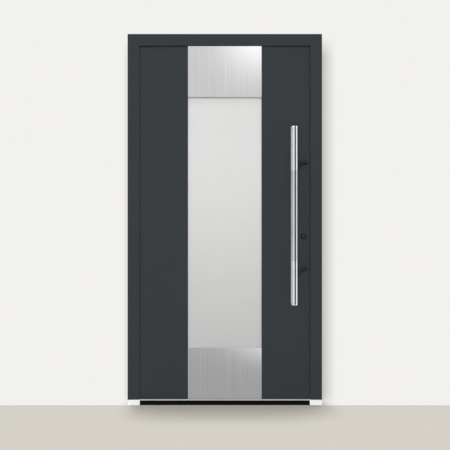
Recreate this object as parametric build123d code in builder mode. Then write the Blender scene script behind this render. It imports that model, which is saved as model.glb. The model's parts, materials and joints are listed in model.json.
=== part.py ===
from build123d import *
import math
import os

os.makedirs("parts", exist_ok=True)

# Aluminium entrance door, millimetres. The outside looks along +Y, up is +Z.
# X is 0 at the middle of the door and Z is 0 at the underside of the threshold.
# Y is 0 in the middle of the frame's depth.

# Whole frame
FRAME_WIDTH = 1100.0
FRAME_HEIGHT = 2100.0
FRAME_DEPTH = 80.0
FACE_WIDTH = 66.0
LIP_THICKNESS = 2.0
LIP_ROUND = 0.8
WALL = 3.0

# Steps of the frame's section, from the outer edge inwards and from the face backwards
OUTER_REBATE = 48.0
INNER_REBATE = 32.0
OUTER_PROFILE_DEPTH = 26.0
BREAK_DEPTH = 20.0
STEP_DEPTH = 52.0
BREAK_INSET = 6.0
BREAK_EDGE = 44.0
BREAK_WALL = 4.0

# Threshold and feet
FOOT_HEIGHT = 30.5
FOOT_WIDTH = 69.0
BASE_HEIGHT = 25.0
RAIL_HEIGHT = 2.0
NOSE_HEIGHT = 7.0
NOSE_DEPTH = 2.0
RAIL_GROOVE = 0.6

# Leaf
EDGE_GAP = 8.0
LEAF_FACE = 8.8
SKIN = 2.0
LEAF_STEP = 58.0
BOTTOM_GAP = 5.0
STILE_INNER = 126.0
BOTTOM_RAIL_HEIGHT = 100.0
SEAL_WIDTH = 5.0
SEAL_INSET = 1.0
SEAL_PROUD = 1.0

# Light in the leaf
LIGHT_WIDTH = 417.0
LIGHT_BOTTOM = 322.8
LIGHT_TOP_DROP = 355.7
GLASS_COVER = 15.0
GLASS_CLEARANCE = 3.0
GASKET_DEPTH = 5.0
PANE_THICKNESS = 6.0
MIDDLE_PANE_THICKNESS = 4.0
CAVITY = 14.0
SPACER_COVER = 2.0
SPACER_WIDTH = 8.0
BEAD_FLANGE = 12.0
BEAD_PROUD = 2.0

# Steel plates
PLATE_THICKNESS = 1.5
PLATE_TOP_GAP = 1.0

# Bar handle
BAR_FROM_EDGE = 161.5
BAR_RADIUS = 19.0
BAR_WALL = 2.0
BAR_CENTRE_Z = 1071.0
BAR_LENGTH = 1000.0
GRIP_LENGTH = 500.0
CAP_HEIGHT = 7.0
CAP_PLUG = 12.0
CAP_PLUG_CLEARANCE = 0.2
BAR_STAND = 67.5
BRACKET_SHIFT = 74.0
BRACKET_CENTRE_Z = 1076.0
BRACKET_SPACING = 600.0
ARM_RADIUS = 8.0
BASE_RADIUS = 9.5
BASE_THICKNESS = 10.0
BASE_CHAMFER = 1.2

# Lock
LOCK_BACKSET = 47.0
LOCK_Z = 955.0
CYLINDER_RADIUS = 11.0
CYLINDER_CLEARANCE = 0.2
ROSETTE_RADIUS = 15.5
ROSETTE_THICKNESS = 6.0
CYLINDER_RECESS = 1.5
LEVER_RISE = 92.0
LEVER_ROSETTE_RADIUS = 26.0
LEVER_ROSETTE_THICKNESS = 8.0
LEVER_NECK_RADIUS = 9.0
LEVER_REACH = 52.0
LEVER_LENGTH = 125.0
LEVER_RADIUS = 10.0
FACEPLATE_WIDTH = 20.0
FACEPLATE_DEPTH = 2.5
FACEPLATE_END = 200.0
STRIKE_BELOW = 255.0
STRIKE_ABOVE = 295.0

# Hinges
HINGE_FROM_FLOOR = 230.0
HINGE_FROM_TOP = 300.0
HINGE_X = 36.0
HINGE_STAND = 16.0
HINGE_HEIGHT = 100.0
KNUCKLE_RADIUS = 10.0
LEAF_KNUCKLE = 49.0
KNUCKLE_GAP = 1.0
PLATE_EDGE = 11.0
HINGE_PLATE = 5.0
FRAME_PLATE_WIDTH = 22.0
LEAF_PLATE_WIDTH = 34.0
PIN_RADIUS = 5.95
PIN_BORE = 6.0
PIN_CAP = 4.0

# Fixing holes through the jambs
FIXING_RADIUS = 4.0
FIXING_DEPTH = 63.0
FIXING_FROM_FLOOR = 200.0
FIXING_FROM_TOP = 200.0
FIXING_STEP = 560.0

# Values that follow from the ones above
HALF = FRAME_WIDTH / 2
FRONT = -FRAME_DEPTH / 2
BACK = FRAME_DEPTH / 2
THRESHOLD_HALF = HALF - FOOT_WIDTH
RAIL_TOP = BASE_HEIGHT + RAIL_HEIGHT
LEAF_BOTTOM = RAIL_TOP + BOTTOM_GAP
LEAF_OUTER_EDGE = OUTER_REBATE + EDGE_GAP
LEAF_INNER_EDGE = INNER_REBATE + EDGE_GAP
SKIN_EDGE = LEAF_OUTER_EDGE + SEAL_INSET + SEAL_WIDTH
CORE_FRONT = LEAF_FACE + SKIN
CORE_BACK = FRAME_DEPTH - SKIN
CORE_HALF = HALF - STILE_INNER
CORE_BOTTOM = LEAF_BOTTOM + BOTTOM_RAIL_HEIGHT
CORE_TOP = FRAME_HEIGHT - STILE_INNER
LIGHT_TOP = FRAME_HEIGHT - LIGHT_TOP_DROP
PANE_HALF = LIGHT_WIDTH / 2 + GLASS_COVER
PANE_BOTTOM = LIGHT_BOTTOM - GLASS_COVER
PANE_TOP = LIGHT_TOP + GLASS_COVER
HOLE_HALF = PANE_HALF + GLASS_CLEARANCE
HOLE_TOP = PANE_TOP + GLASS_CLEARANCE
BREAK_END = OUTER_PROFILE_DEPTH + BREAK_DEPTH
BAR_X = HALF - BAR_FROM_EDGE
BRACKET_X = BAR_X + BRACKET_SHIFT
LOCK_X = HALF - LEAF_OUTER_EDGE - LOCK_BACKSET
FACEPLATE_BOTTOM = FACEPLATE_END
FACEPLATE_TOP = FRAME_HEIGHT - FACEPLATE_END
STRIKE_BOTTOM = LOCK_Z - STRIKE_BELOW
STRIKE_TOP = LOCK_Z + STRIKE_ABOVE
HINGE_HIGH = FRAME_HEIGHT - HINGE_FROM_TOP
HINGE_HEIGHTS = {
    "lower": HINGE_FROM_FLOOR,
    "middle": (HINGE_FROM_FLOOR + HINGE_HIGH) / 2,
    "upper": HINGE_HIGH,
}
FIXING_HIGH = FRAME_HEIGHT - FIXING_FROM_TOP
FIXING_HEIGHTS = [
    FIXING_FROM_FLOOR,
    FIXING_FROM_FLOOR + FIXING_STEP,
    FIXING_HIGH - FIXING_STEP,
    FIXING_HIGH,
]


def place(side, across, deep):
    """A point of a section, measured from the frame's outer edge and its front face."""
    return (side * (HALF - across), FRONT + deep)


def panel(left, right, bottom, top, front, back, hole=None):
    """An upright sheet between two depths, with an opening if one is given."""
    with BuildPart() as made:
        with BuildSketch(Plane.XZ.offset(-(FRONT + back))):
            with Locations(((left + right) / 2, (bottom + top) / 2)):
                Rectangle(right - left, top - bottom)
            if hole:
                with Locations(((hole[0] + hole[1]) / 2, (hole[2] + hole[3]) / 2)):
                    Rectangle(hole[1] - hole[0], hole[3] - hole[2], mode=Mode.SUBTRACT)
        extrude(amount=back - front)
    return made


def section(points, hollows, plane, turn):
    """A hollow section drawn on a plane."""
    with BuildSketch(plane) as drawn:
        with BuildLine():
            Polyline(*[turn(*p) for p in points], close=True)
        make_face()
        for hollow in hollows:
            with BuildLine():
                Polyline(*[turn(*p) for p in hollow], close=True)
            make_face(mode=Mode.SUBTRACT)
    return drawn


def box_points(x0, y0, x1, y1):
    return [(x0, y0), (x1, y0), (x1, y1), (x0, y1)]


def corner_plane(side, facing):
    """The mitre through a top corner, facing the jamb at 1 and the head at -1."""
    return Plane(
        origin=(side * HALF, 0, FRAME_HEIGHT),
        x_dir=(0, 1, 0),
        z_dir=(facing * side, 0, -facing),
    )


def jamb(side, points, hollows, bottom):
    """An upright bar with its top mitred."""
    drawn = section(points, hollows, Plane.XY.offset(bottom), lambda a, d: place(side, a, d))
    with BuildPart() as made:
        extrude(drawn.sketch, amount=FRAME_HEIGHT - bottom)
        split(bisect_by=corner_plane(side, 1), keep=Keep.TOP)
    return made


def head(points, hollows):
    """A level bar with both ends mitred."""
    drawn = section(
        points,
        hollows,
        Plane.YZ.offset(-HALF),
        lambda a, d: (FRONT + d, FRAME_HEIGHT - a),
    )
    with BuildPart() as made:
        extrude(drawn.sketch, amount=FRAME_WIDTH)
        split(bisect_by=corner_plane(-1, -1), keep=Keep.TOP)
        split(bisect_by=corner_plane(1, -1), keep=Keep.TOP)
    return made


def save(made, name):
    made.part.label = name
    export_step(made.part, "parts/" + name + ".step")


# Frame: outer aluminium profile with the lip that covers the leaf's edge
OUTER_POINTS = [
    (0, 0),
    (FACE_WIDTH, 0),
    (FACE_WIDTH, LIP_THICKNESS),
    (OUTER_REBATE, LIP_THICKNESS),
    (OUTER_REBATE, OUTER_PROFILE_DEPTH),
    (0, OUTER_PROFILE_DEPTH),
]
OUTER_HOLLOW = box_points(WALL, WALL, OUTER_REBATE - WALL, OUTER_PROFILE_DEPTH - WALL)

# Frame: inner aluminium profile with the second step
INNER_POINTS = [
    (0, BREAK_END),
    (OUTER_REBATE, BREAK_END),
    (OUTER_REBATE, STEP_DEPTH),
    (INNER_REBATE, STEP_DEPTH),
    (INNER_REBATE, FRAME_DEPTH),
    (0, FRAME_DEPTH),
]
INNER_HOLLOW = box_points(WALL, BREAK_END + WALL, INNER_REBATE - WALL, FRAME_DEPTH - WALL)

BREAK_POINTS = box_points(BREAK_INSET, OUTER_PROFILE_DEPTH, BREAK_EDGE, BREAK_END)
BREAK_HOLLOW = box_points(
    BREAK_INSET + BREAK_WALL,
    OUTER_PROFILE_DEPTH + BREAK_WALL,
    BREAK_EDGE - BREAK_WALL,
    BREAK_END - BREAK_WALL,
)

for side, word in ((-1, "left"), (1, "right")):
    with BuildPart() as outer_jamb:
        add(jamb(side, OUTER_POINTS, [OUTER_HOLLOW], FOOT_HEIGHT).part)
        lip_edges = outer_jamb.edges().filter_by(Axis.Z)
        lip_edges = lip_edges.filter_by_position(Axis.Y, FRONT - 0.1, FRONT + 0.1)
        fillet(lip_edges, radius=LIP_ROUND)
    save(outer_jamb, "frame_outer_jamb_" + word)

    with BuildPart() as inner_jamb:
        add(jamb(side, INNER_POINTS, [INNER_HOLLOW], FOOT_HEIGHT).part)
        with BuildSketch(Plane.YZ.offset(side * HALF)):
            with Locations(*[(FRONT + FIXING_DEPTH, z) for z in FIXING_HEIGHTS]):
                Circle(FIXING_RADIUS)
        extrude(amount=-side * (INNER_REBATE + 1), mode=Mode.SUBTRACT)
    save(inner_jamb, "frame_inner_jamb_" + word)

with BuildPart() as outer_head:
    add(head(OUTER_POINTS, [OUTER_HOLLOW]).part)
    lip_edges = outer_head.edges().filter_by(Axis.X)
    lip_edges = lip_edges.filter_by_position(Axis.Y, FRONT - 0.1, FRONT + 0.1)
    fillet(lip_edges, radius=LIP_ROUND)
save(outer_head, "frame_outer_head")

with BuildPart() as inner_head:
    add(head(INNER_POINTS, [INNER_HOLLOW]).part)
save(inner_head, "frame_inner_head")

with BuildPart() as thermal_break:
    add(jamb(-1, BREAK_POINTS, [BREAK_HOLLOW], FOOT_HEIGHT).part)
    add(head(BREAK_POINTS, [BREAK_HOLLOW]).part)
    add(jamb(1, BREAK_POINTS, [BREAK_HOLLOW], FOOT_HEIGHT).part)
save(thermal_break, "frame_thermal_break")

# Feet and threshold
for side, word in ((-1, "left"), (1, "right")):
    with BuildPart() as foot:
        with BuildSketch():
            with Locations((side * (HALF - FOOT_WIDTH / 2), 0)):
                Rectangle(FOOT_WIDTH, FRAME_DEPTH)
        extrude(amount=FOOT_HEIGHT)
    save(foot, "foot_block_" + word)

with BuildPart() as base:
    with BuildSketch(Plane.YZ.offset(-THRESHOLD_HALF)):
        with BuildLine():
            Polyline(
                (FRONT + 0.5, 0),
                (BACK, 0),
                (BACK, BASE_HEIGHT),
                (FRONT + 12, BASE_HEIGHT),
                (FRONT + 12, 17),
                (FRONT + 7, 16),
                (FRONT + 3, 11),
                (FRONT + 0.5, 5),
                close=True,
            )
        make_face()
    extrude(amount=2 * THRESHOLD_HALF)
save(base, "threshold_base")

with BuildPart() as rail:
    with BuildSketch(Plane.YZ.offset(-THRESHOLD_HALF)):
        with BuildLine():
            Polyline(
                (FRONT + RAIL_HEIGHT, BASE_HEIGHT),
                (BACK, BASE_HEIGHT),
                (BACK, RAIL_TOP),
                (FRONT + NOSE_DEPTH, RAIL_TOP),
                (FRONT + NOSE_DEPTH, RAIL_TOP + NOSE_HEIGHT),
                (FRONT, RAIL_TOP + NOSE_HEIGHT),
                (FRONT, RAIL_TOP),
                close=True,
            )
        make_face()
        with Locations(*[(FRONT + y, RAIL_TOP) for y in (16, 22, 28, 52, 58, 64)]):
            Rectangle(2, 2 * RAIL_GROOVE, mode=Mode.SUBTRACT)
    extrude(amount=2 * THRESHOLD_HALF)
save(rail, "threshold_rail")

# Leaf: edge bars
STILE_POINTS = [
    (LEAF_OUTER_EDGE, CORE_FRONT),
    (STILE_INNER, CORE_FRONT),
    (STILE_INNER, CORE_BACK),
    (LEAF_INNER_EDGE, CORE_BACK),
    (LEAF_INNER_EDGE, LEAF_STEP),
    (LEAF_INNER_EDGE + 5, LEAF_STEP),
    (LEAF_INNER_EDGE + 5, LEAF_STEP + 2),
    (LEAF_INNER_EDGE + 11, LEAF_STEP + 2),
    (LEAF_INNER_EDGE + 11, LEAF_STEP),
    (LEAF_OUTER_EDGE, LEAF_STEP),
]
STILE_HOLLOWS = [
    box_points(LEAF_OUTER_EDGE + 4, CORE_FRONT + WALL, STILE_INNER - WALL, LEAF_STEP - WALL),
    box_points(LEAF_INNER_EDGE + WALL, LEAF_STEP + 5, STILE_INNER - WALL, CORE_BACK - WALL),
]

with BuildPart() as stile_hinge:
    add(jamb(-1, STILE_POINTS, STILE_HOLLOWS, LEAF_BOTTOM).part)
save(stile_hinge, "leaf_stile_hinge")

FACEPLATE_Y = FRONT + (OUTER_PROFILE_DEPTH + BREAK_END) / 2
with BuildPart() as stile_lock:
    add(jamb(1, STILE_POINTS, STILE_HOLLOWS, LEAF_BOTTOM).part)
    with BuildSketch(Plane.YZ.offset(HALF - LEAF_OUTER_EDGE)):
        with Locations((FACEPLATE_Y, (FACEPLATE_BOTTOM + FACEPLATE_TOP) / 2)):
            Rectangle(FACEPLATE_WIDTH, FACEPLATE_TOP - FACEPLATE_BOTTOM)
    extrude(amount=-FACEPLATE_DEPTH, mode=Mode.SUBTRACT)
    with BuildSketch(Plane.XZ.offset(-BACK)):
        with Locations((LOCK_X, LOCK_Z)):
            Circle(CYLINDER_RADIUS + CYLINDER_CLEARANCE)
    extrude(amount=FRAME_DEPTH, mode=Mode.SUBTRACT)
save(stile_lock, "leaf_stile_lock")

with BuildPart() as rail_top:
    add(head(STILE_POINTS, STILE_HOLLOWS).part)
save(rail_top, "leaf_rail_top")

with BuildPart() as rail_bottom:
    with BuildSketch(Plane.YZ.offset(-CORE_HALF)):
        with Locations((FRONT + (CORE_FRONT + CORE_BACK) / 2, LEAF_BOTTOM + BOTTOM_RAIL_HEIGHT / 2)):
            Rectangle(CORE_BACK - CORE_FRONT, BOTTOM_RAIL_HEIGHT)
            Rectangle(
                CORE_BACK - CORE_FRONT - 2 * WALL,
                BOTTOM_RAIL_HEIGHT - 2 * WALL,
                mode=Mode.SUBTRACT,
            )
    extrude(amount=2 * CORE_HALF)
save(rail_bottom, "leaf_rail_bottom")

# Leaf: core and skins
HOLE = (-HOLE_HALF, HOLE_HALF, PANE_BOTTOM, HOLE_TOP)
LIGHT = (-LIGHT_WIDTH / 2, LIGHT_WIDTH / 2, LIGHT_BOTTOM, LIGHT_TOP)
core = panel(-CORE_HALF, CORE_HALF, CORE_BOTTOM, CORE_TOP, CORE_FRONT, CORE_BACK, HOLE)
save(core, "leaf_core")

with BuildPart() as outer_skin:
    add(
        panel(
            SKIN_EDGE - HALF,
            HALF - SKIN_EDGE,
            LEAF_BOTTOM,
            FRAME_HEIGHT - SKIN_EDGE,
            LEAF_FACE,
            CORE_FRONT,
            LIGHT,
        ).part
    )
    with BuildSketch(Plane.XZ.offset(-BACK)):
        with Locations((LOCK_X, LOCK_Z)):
            Circle(CYLINDER_RADIUS + CYLINDER_CLEARANCE)
    extrude(amount=FRAME_DEPTH, mode=Mode.SUBTRACT)
save(outer_skin, "leaf_outer_skin")

with BuildPart() as inner_skin:
    add(
        panel(
            LEAF_INNER_EDGE - HALF,
            HALF - LEAF_INNER_EDGE,
            LEAF_BOTTOM,
            FRAME_HEIGHT - LEAF_INNER_EDGE,
            CORE_BACK,
            FRAME_DEPTH,
            HOLE,
        ).part
    )
    with BuildSketch(Plane.XZ.offset(-BACK)):
        with Locations((LOCK_X, LOCK_Z)):
            Circle(CYLINDER_RADIUS + CYLINDER_CLEARANCE)
    extrude(amount=FRAME_DEPTH, mode=Mode.SUBTRACT)
save(inner_skin, "leaf_inner_skin")


# Seals: each is an upside-down U that follows the sides and the head
def seal(edge, width, front, back):
    outer_half = HALF - edge
    outer_top = FRAME_HEIGHT - edge
    with BuildPart() as made:
        with BuildSketch(Plane.XZ.offset(-(FRONT + back))):
            with BuildLine():
                Polyline(
                    (-outer_half, LEAF_BOTTOM),
                    (-outer_half, outer_top),
                    (outer_half, outer_top),
                    (outer_half, LEAF_BOTTOM),
                    (outer_half - width, LEAF_BOTTOM),
                    (outer_half - width, outer_top - width),
                    (width - outer_half, outer_top - width),
                    (width - outer_half, LEAF_BOTTOM),
                    close=True,
                )
            make_face()
        extrude(amount=back - front)
    return made


outer_seal = seal(
    LEAF_OUTER_EDGE + SEAL_INSET, SEAL_WIDTH, LEAF_FACE - SEAL_PROUD, CORE_FRONT
)
save(outer_seal, "seal_outer")
inner_seal = seal(LEAF_INNER_EDGE + 5, 6.0, LEAF_STEP - SEAL_PROUD, LEAF_STEP + 2)
save(inner_seal, "seal_inner")

# Glazing, from the outside in
depth = CORE_FRONT
gasket = panel(*HOLE, depth, depth + GASKET_DEPTH, LIGHT)
save(gasket, "glazing_gasket")
depth = depth + GASKET_DEPTH

SPACER_OUT = LIGHT_WIDTH / 2 + SPACER_COVER + SPACER_WIDTH
SPACER_IN = LIGHT_WIDTH / 2 + SPACER_COVER
PANES = [
    ("glass_pane_outer", PANE_THICKNESS),
    ("glass_pane_middle", MIDDLE_PANE_THICKNESS),
    ("glass_pane_inner", PANE_THICKNESS),
]
SPACERS = ["glass_spacer_outer", "glass_spacer_inner"]
for number, (name, thickness) in enumerate(PANES):
    pane = panel(-PANE_HALF, PANE_HALF, PANE_BOTTOM, PANE_TOP, depth, depth + thickness)
    save(pane, name)
    depth = depth + thickness
    if number < len(SPACERS):
        spacer = panel(
            -SPACER_OUT,
            SPACER_OUT,
            LIGHT_BOTTOM - SPACER_COVER - SPACER_WIDTH,
            LIGHT_TOP + SPACER_COVER + SPACER_WIDTH,
            depth,
            depth + CAVITY,
            (
                -SPACER_IN,
                SPACER_IN,
                LIGHT_BOTTOM - SPACER_COVER,
                LIGHT_TOP + SPACER_COVER,
            ),
        )
        save(spacer, SPACERS[number])
        depth = depth + CAVITY

with BuildPart() as bead:
    add(panel(*HOLE, depth, FRAME_DEPTH, LIGHT).part)
    add(
        panel(
            -HOLE_HALF - BEAD_FLANGE,
            HOLE_HALF + BEAD_FLANGE,
            PANE_BOTTOM - BEAD_FLANGE,
            HOLE_TOP + BEAD_FLANGE,
            FRAME_DEPTH,
            FRAME_DEPTH + BEAD_PROUD,
            LIGHT,
        ).part
    )
save(bead, "glazing_bead")

# Steel plates on the outer skin
plate_top = panel(
    -LIGHT_WIDTH / 2,
    LIGHT_WIDTH / 2,
    LIGHT_TOP,
    FRAME_HEIGHT - SKIN_EDGE - PLATE_TOP_GAP,
    LEAF_FACE - PLATE_THICKNESS,
    LEAF_FACE,
)
save(plate_top, "plate_top")
plate_bottom = panel(
    -LIGHT_WIDTH / 2,
    LIGHT_WIDTH / 2,
    LEAF_BOTTOM,
    LIGHT_BOTTOM,
    LEAF_FACE - PLATE_THICKNESS,
    LEAF_FACE,
)
save(plate_bottom, "plate_bottom")

# Bar handle
LEAF_Y = FRONT + LEAF_FACE
BAR_Y = LEAF_Y - BAR_STAND
BAR_BOTTOM = BAR_CENTRE_Z - BAR_LENGTH / 2
BAR_TOP = BAR_CENTRE_Z + BAR_LENGTH / 2
GRIP_BOTTOM = BAR_CENTRE_Z - GRIP_LENGTH / 2
GRIP_TOP = BAR_CENTRE_Z + GRIP_LENGTH / 2


def tube(bottom, top):
    with BuildPart() as made:
        with BuildSketch(Plane.XY.offset(bottom)):
            with Locations((BAR_X, BAR_Y)):
                Circle(BAR_RADIUS)
                Circle(BAR_RADIUS - BAR_WALL, mode=Mode.SUBTRACT)
        extrude(amount=top - bottom)
    return made


save(tube(BAR_BOTTOM + CAP_HEIGHT, GRIP_BOTTOM), "handle_tube_lower")
save(tube(GRIP_BOTTOM, GRIP_TOP), "handle_grip")
save(tube(GRIP_TOP, BAR_TOP - CAP_HEIGHT), "handle_tube_upper")

for word, face, inward in (("lower", BAR_BOTTOM, 1), ("upper", BAR_TOP, -1)):
    with BuildPart() as cap:
        with BuildSketch(Plane.XY.offset(face)):
            with Locations((BAR_X, BAR_Y)):
                Circle(BAR_RADIUS)
        extrude(amount=inward * CAP_HEIGHT)
        with BuildSketch(Plane.XY.offset(face + inward * CAP_HEIGHT)):
            with Locations((BAR_X, BAR_Y)):
                Circle(BAR_RADIUS - BAR_WALL - CAP_PLUG_CLEARANCE)
        extrude(amount=inward * CAP_PLUG)
        rim = cap.edges().filter_by(GeomType.CIRCLE)
        rim = rim.filter_by_position(Axis.Z, face - 0.1, face + 0.1)
        fillet(rim, radius=1.5)
    save(cap, "handle_cap_" + word)

REACH_X = BAR_X - BRACKET_X
REACH_Y = BAR_Y - LEAF_Y
REACH = math.hypot(REACH_X, REACH_Y)
for word, along in (("lower", -1), ("upper", 1)):
    height = BRACKET_CENTRE_Z + along * BRACKET_SPACING / 2
    with BuildPart() as bracket:
        arm_plane = Plane(
            origin=(BRACKET_X, LEAF_Y, height),
            x_dir=(0, 0, 1),
            z_dir=(REACH_X, REACH_Y, 0),
        )
        with BuildSketch(arm_plane.offset(-12)):
            Circle(ARM_RADIUS)
        extrude(amount=REACH + 12)
        with BuildSketch(Plane.XZ.offset(-LEAF_Y)):
            with Locations((BRACKET_X, height)):
                Circle(BASE_RADIUS)
        extrude(amount=BASE_THICKNESS)
        split(bisect_by=Plane.XZ.offset(-LEAF_Y), keep=Keep.TOP)
        base_rim = bracket.edges().filter_by(GeomType.CIRCLE)
        base_rim = base_rim.group_by(SortBy.RADIUS)[-1].sort_by(Axis.Y)[0]
        chamfer(base_rim, length=BASE_CHAMFER)
        with BuildSketch(Plane.XY.offset(height - 60)):
            with Locations((BAR_X, BAR_Y)):
                Circle(BAR_RADIUS)
        extrude(amount=120, mode=Mode.SUBTRACT)
    save(bracket, "handle_bracket_" + word)

# Lock
with BuildPart() as rosette:
    with BuildSketch(Plane.XZ.offset(-LEAF_Y)):
        with Locations((LOCK_X, LOCK_Z)):
            Circle(ROSETTE_RADIUS)
            Circle(CYLINDER_RADIUS + CYLINDER_CLEARANCE, mode=Mode.SUBTRACT)
    extrude(amount=ROSETTE_THICKNESS)
    front_rim = rosette.edges().filter_by(GeomType.CIRCLE)
    front_rim = front_rim.group_by(Axis.Y)[0].sort_by(SortBy.RADIUS)[-1]
    fillet(front_rim, radius=2.0)
save(rosette, "lock_rosette_outside")

with BuildPart() as inner_rosette:
    with BuildSketch(Plane.XZ.offset(-BACK)):
        with Locations((LOCK_X, LOCK_Z)):
            Circle(LEVER_ROSETTE_RADIUS)
            Circle(CYLINDER_RADIUS + CYLINDER_CLEARANCE, mode=Mode.SUBTRACT)
    extrude(amount=-LEVER_ROSETTE_THICKNESS)
    back_rim = inner_rosette.edges().filter_by(GeomType.CIRCLE)
    back_rim = back_rim.group_by(Axis.Y)[-1].sort_by(SortBy.RADIUS)[-1]
    fillet(back_rim, radius=2.0)
save(inner_rosette, "lock_rosette_inside")

CYLINDER_FRONT = LEAF_Y - ROSETTE_THICKNESS + CYLINDER_RECESS
CYLINDER_BACK = BACK + LEVER_ROSETTE_THICKNESS + 2
with BuildPart() as cylinder:
    with BuildSketch(Plane.XZ.offset(-CYLINDER_BACK)):
        with Locations((LOCK_X, LOCK_Z)):
            Circle(CYLINDER_RADIUS)
    extrude(amount=CYLINDER_BACK - CYLINDER_FRONT)
    for face, inward in ((CYLINDER_FRONT, -1), (CYLINDER_BACK, 1)):
        with BuildSketch(Plane.XZ.offset(-face)):
            with Locations((LOCK_X, LOCK_Z)):
                Circle(7.0)
                Circle(6.5, mode=Mode.SUBTRACT)
                Rectangle(2.0, 9.0)
        extrude(amount=inward * 1.0, mode=Mode.SUBTRACT)
save(cylinder, "lock_cylinder")

LEVER_Z = LOCK_Z + LEVER_RISE
with BuildPart() as lever_rosette:
    with BuildSketch(Plane.XZ.offset(-BACK)):
        with Locations((LOCK_X, LEVER_Z)):
            Circle(LEVER_ROSETTE_RADIUS)
    extrude(amount=-LEVER_ROSETTE_THICKNESS)
    lever_rim = lever_rosette.edges().filter_by(GeomType.CIRCLE).group_by(Axis.Y)[-1]
    fillet(lever_rim, radius=2.0)
save(lever_rosette, "lever_rosette")

LEVER_START = BACK + LEVER_ROSETTE_THICKNESS
with BuildPart() as lever:
    with BuildLine() as route:
        neck = Line((LOCK_X, LEVER_START, LEVER_Z), (LOCK_X, LEVER_START + LEVER_REACH - 22, LEVER_Z))
        bend = TangentArc(
            neck @ 1,
            (LOCK_X - 22, LEVER_START + LEVER_REACH, LEVER_Z),
            tangent=neck % 1,
        )
        Line(bend @ 1, (LOCK_X - LEVER_LENGTH, LEVER_START + LEVER_REACH, LEVER_Z))
    with BuildSketch(Plane(origin=neck @ 0, z_dir=(0, 1, 0))):
        Circle(LEVER_NECK_RADIUS)
    sweep()
save(lever, "lever_handle")

with BuildPart() as faceplate:
    with BuildSketch(Plane.YZ.offset(HALF - LEAF_OUTER_EDGE)):
        with Locations((FACEPLATE_Y, (FACEPLATE_BOTTOM + FACEPLATE_TOP) / 2)):
            Rectangle(FACEPLATE_WIDTH, FACEPLATE_TOP - FACEPLATE_BOTTOM)
    extrude(amount=-FACEPLATE_DEPTH)
save(faceplate, "lock_faceplate")

with BuildPart() as strike:
    with BuildSketch(Plane.YZ.offset(HALF - BREAK_EDGE)):
        with Locations((FACEPLATE_Y, (STRIKE_BOTTOM + STRIKE_TOP) / 2)):
            Rectangle(BREAK_DEPTH, STRIKE_TOP - STRIKE_BOTTOM)
        with Locations((FACEPLATE_Y, LOCK_Z - 30), (FACEPLATE_Y, LEVER_Z)):
            Rectangle(14, 44, mode=Mode.SUBTRACT)
    extrude(amount=-(OUTER_REBATE - BREAK_EDGE))
save(strike, "strike_plate")

# Hinges on the inside
PIN_X = HINGE_X - HALF
PIN_Y = BACK + HINGE_STAND
HALF_HINGE = HINGE_HEIGHT / 2
HALF_LEAF_KNUCKLE = LEAF_KNUCKLE / 2


def hinge_half(side, middle, plate_width, spans, height):
    """A plate with its knuckles: side -1 is the frame's and 1 the leaf's."""
    near = PIN_X + side * PLATE_EDGE
    far = near + side * plate_width
    with BuildPart() as made:
        with BuildSketch(Plane.XY.offset(middle - height / 2)):
            with Locations(((near + far) / 2, BACK + HINGE_PLATE / 2)):
                Rectangle(plate_width, HINGE_PLATE)
        extrude(amount=height)
        for low, high in spans:
            with BuildSketch(Plane.XY.offset(middle + low)):
                with BuildLine():
                    Polyline(
                        (near + side * 12, BACK + HINGE_PLATE),
                        (near, BACK + HINGE_PLATE),
                        (PIN_X + side * 2, PIN_Y - 9),
                        (PIN_X + side * 5, PIN_Y + 8),
                        close=True,
                    )
                make_face()
                with Locations((PIN_X, PIN_Y)):
                    Circle(KNUCKLE_RADIUS)
            extrude(amount=high - low)
        with BuildSketch(Plane.XY.offset(middle - height)):
            with Locations((PIN_X, PIN_Y)):
                Circle(PIN_BORE)
        extrude(amount=2 * height, mode=Mode.SUBTRACT)
    return made


for word, middle in HINGE_HEIGHTS.items():
    frame_spans = [
        (-HALF_HINGE, -HALF_LEAF_KNUCKLE - KNUCKLE_GAP),
        (HALF_LEAF_KNUCKLE + KNUCKLE_GAP, HALF_HINGE),
    ]
    leaf_spans = [(-HALF_LEAF_KNUCKLE, HALF_LEAF_KNUCKLE)]
    frame_half = hinge_half(-1, middle, FRAME_PLATE_WIDTH, frame_spans, HINGE_HEIGHT)
    save(frame_half, "hinge_frame_" + word)
    leaf_half = hinge_half(1, middle, LEAF_PLATE_WIDTH, leaf_spans, HINGE_HEIGHT)
    save(leaf_half, "hinge_leaf_" + word)
    with BuildPart() as pin:
        with BuildSketch(Plane.XY.offset(middle - HALF_HINGE)):
            with Locations((PIN_X, PIN_Y)):
                Circle(PIN_RADIUS)
        extrude(amount=HINGE_HEIGHT)
        for level in (middle - HALF_HINGE - PIN_CAP, middle + HALF_HINGE):
            with BuildSketch(Plane.XY.offset(level)):
                with Locations((PIN_X, PIN_Y)):
                    Circle(KNUCKLE_RADIUS)
            extrude(amount=PIN_CAP)
        caps = pin.edges().filter_by(GeomType.CIRCLE).group_by(Axis.Z)
        fillet(caps[0] + caps[-1], radius=1.5)
    save(pin, "hinge_pin_" + word)
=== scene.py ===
# %% [markdown]
# Aluminium entrance door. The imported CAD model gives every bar, pane and hinge its place.
# This notebook dresses it: camera, finishes, round pieces made smooth, screws, floor,
# wall and light. All lengths are metres, up is +Z, and the outside looks towards -Y.

# %% Load the frame
import json
import math

import bmesh
import bpy
from mathutils import Matrix, Vector


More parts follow.
